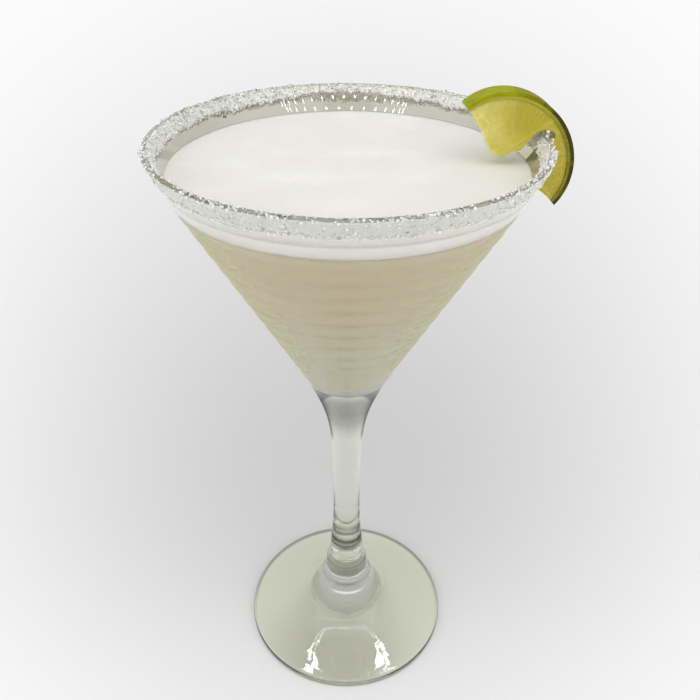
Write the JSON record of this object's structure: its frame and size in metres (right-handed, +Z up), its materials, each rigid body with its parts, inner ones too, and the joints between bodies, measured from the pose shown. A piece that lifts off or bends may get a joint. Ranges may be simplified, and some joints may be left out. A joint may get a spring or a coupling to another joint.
{
  "type": "daiquiri in a cocktail glass",
  "caption": "Cloudy pale daiquiri with a white foam head in a stemmed cone-shaped cocktail glass, with a crystal crust on the rim and a slotted half slice of lime.",
  "frame": {"origin": "centre of the foot's underside, on the glass's axis", "axes": "+Z up along the stem, +X towards the slice of lime"},
  "size_m": [0.111, 0.1047, 0.1953],
  "materials": {
    "glass": "clear polished glass with a faint grey-green tint",
    "crystals": "half clear whitish crystals, sparkling",
    "drink": "cloudy pale yellowish liquid",
    "foam": "fine white foam",
    "lime": "moist yellow-green flesh in a green skin"
  },
  "bodies": {
    "root": {"glass": "glass", "rim_crystals": "crystals", "drink": "drink", "foam": "foam", "lime_slice": "lime"}
  },
  "joints": []
}
